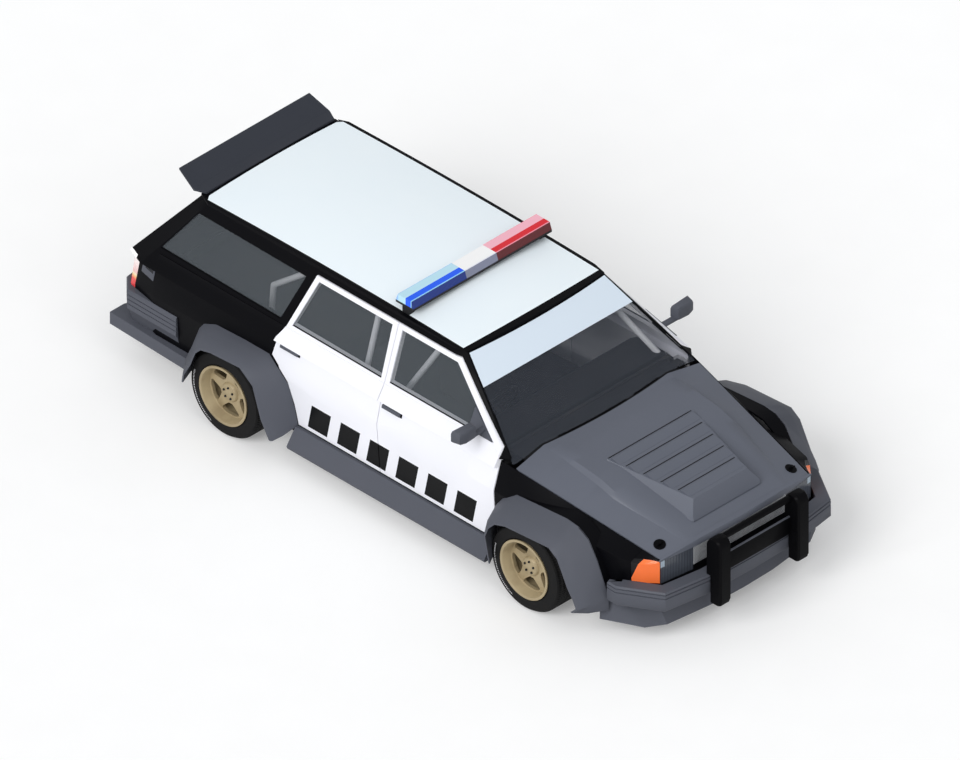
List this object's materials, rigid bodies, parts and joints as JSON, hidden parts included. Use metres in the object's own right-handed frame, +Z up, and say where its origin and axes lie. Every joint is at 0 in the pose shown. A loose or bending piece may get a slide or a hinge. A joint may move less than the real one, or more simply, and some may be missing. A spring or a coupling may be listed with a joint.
{
  "type": "police patrol estate car",
  "caption": "Five-door patrol estate with wheel flares, roof spoiler, roll cage, push bar and roof light bar; doors, bonnet and tailgate open, wheels turn and steer.",
  "frame": {"origin": "on the ground under the middle of the car's length and width", "axes": "+X forward, +Y to the car's left, +Z up"},
  "size_m": [5, 2.2, 1.4759],
  "materials": {
    "body_paint": "gloss",
    "door_paint": "gloss",
    "roof_paint": "gloss",
    "bonnet_paint": "satin",
    "kit_grey": "satin",
    "dark_plastic": "matte",
    "black_steel": "gloss",
    "tinted_glass": "polished",
    "screen_glass": "polished",
    "lamp_amber": "gloss",
    "lamp_clear": "polished",
    "lamp_red": "gloss",
    "beacon": "gloss",
    "cage_steel": "gloss",
    "seat_fabric": "matte",
    "chassis_steel": "matte",
    "engine_alloy": "cast",
    "tyre": "matte",
    "rim_gold": "satin"
  },
  "bodies": {
    "body": {"floorpan": "chassis_steel", "bulkhead": "chassis_steel", "side_frame_right": "body_paint", "side_frame_left": "body_paint", "roof_panel": "roof_paint", "windscreen_frame": "body_paint", "windscreen": "screen_glass", "quarter_glass": "tinted_glass", "tail_lamps": "lamp_red", "front_fenders": "body_paint", "nose_panel": "body_paint", "headlamps": "lamp_clear", "corner_lamps": "lamp_amber", "grille": "dark_plastic", "front_bumper": "kit_grey", "side_skirts": "kit_grey", "rear_bumper": "kit_grey", "wheel_flares": "kit_grey", "engine": "engine_alloy", "driveline": "chassis_steel", "rear_axle": "chassis_steel", "front_crossmember": "chassis_steel", "push_bar": "black_steel", "light_bar_base": "dark_plastic", "light_bar_lenses": "beacon", "roll_cage": "cage_steel", "front_seats": "seat_fabric", "dashboard": "dark_plastic"},
    "bonnet": {"bonnet": "bonnet_paint", "bonnet_louvres": "bonnet_paint"},
    "tailgate": {"tailgate": "body_paint", "tailgate_glass": "tinted_glass", "roof_spoiler": "dark_plastic"},
    "front_door_right": {"door_front_right": "door_paint", "glass_front_right": "tinted_glass", "mirror_right": "kit_grey"},
    "rear_door_right": {"door_rear_right": "door_paint", "glass_rear_right": "tinted_glass"},
    "knuckle_right": {"knuckle_right": "chassis_steel"},
    "wheel_front_right": {"tyre_front_right": "tyre", "rim_front_right": "rim_gold"},
    "wheel_rear_right": {"tyre_rear_right": "tyre", "rim_rear_right": "rim_gold"},
    "front_door_left": {"door_front_left": "door_paint", "glass_front_left": "tinted_glass", "mirror_left": "kit_grey"},
    "rear_door_left": {"door_rear_left": "door_paint", "glass_rear_left": "tinted_glass"},
    "knuckle_left": {"knuckle_left": "chassis_steel"},
    "wheel_front_left": {"tyre_front_left": "tyre", "rim_front_left": "rim_gold"},
    "wheel_rear_left": {"tyre_rear_left": "tyre", "rim_rear_left": "rim_gold"}
  },
  "joints": [
    {"name": "steering_right", "type": "hinge", "parent": "body", "child": "knuckle_right", "pos_m": [1.352, -0.83, 0.308], "axis": [0, 0, 1], "range_deg": [-28, 28]},
    {"name": "front_wheel_right", "type": "hinge", "parent": "knuckle_right", "child": "wheel_front_right", "pos_m": [1.352, -0.905, 0.308], "axis": [0, 1, 0], "continuous": true},
    {"name": "rear_wheel_right", "type": "hinge", "parent": "body", "child": "wheel_rear_right", "pos_m": [-1.345, -0.905, 0.308], "axis": [0, 1, 0], "continuous": true},
    {"name": "front_door_right_hinge", "type": "hinge", "parent": "body", "child": "front_door_right", "pos_m": [0.95, -0.905, 0.6], "axis": [0, 0, 1], "range_deg": [0, 65]},
    {"name": "rear_door_right_hinge", "type": "hinge", "parent": "body", "child": "rear_door_right", "pos_m": [-0.097, -0.905, 0.6], "axis": [0, 0, 1], "range_deg": [0, 65]},
    {"name": "steering_left", "type": "hinge", "parent": "body", "child": "knuckle_left", "pos_m": [1.352, 0.83, 0.308], "axis": [0, 0, 1], "range_deg": [-28, 28]},
    {"name": "front_wheel_left", "type": "hinge", "parent": "knuckle_left", "child": "wheel_front_left", "pos_m": [1.352, 0.905, 0.308], "axis": [0, 1, 0], "continuous": true},
    {"name": "rear_wheel_left", "type": "hinge", "parent": "body", "child": "wheel_rear_left", "pos_m": [-1.345, 0.905, 0.308], "axis": [0, 1, 0], "continuous": true},
    {"name": "front_door_left_hinge", "type": "hinge", "parent": "body", "child": "front_door_left", "pos_m": [0.95, 0.905, 0.6], "axis": [0, 0, -1], "range_deg": [0, 65]},
    {"name": "rear_door_left_hinge", "type": "hinge", "parent": "body", "child": "rear_door_left", "pos_m": [-0.097, 0.905, 0.6], "axis": [0, 0, -1], "range_deg": [0, 65]},
    {"name": "bonnet_hinge", "type": "hinge", "parent": "body", "child": "bonnet", "pos_m": [0.985, 0, 0.905], "axis": [0, -1, 0], "range_deg": [0, 50]},
    {"name": "tailgate_hinge", "type": "hinge", "parent": "body", "child": "tailgate", "pos_m": [-1.94, 0, 1.36], "axis": [0, 1, 0], "range_deg": [0, 75]}
  ],
  "couplings": [
    {"joint": "steering_left", "follows": "steering_right", "ratio": 1}
  ]
}
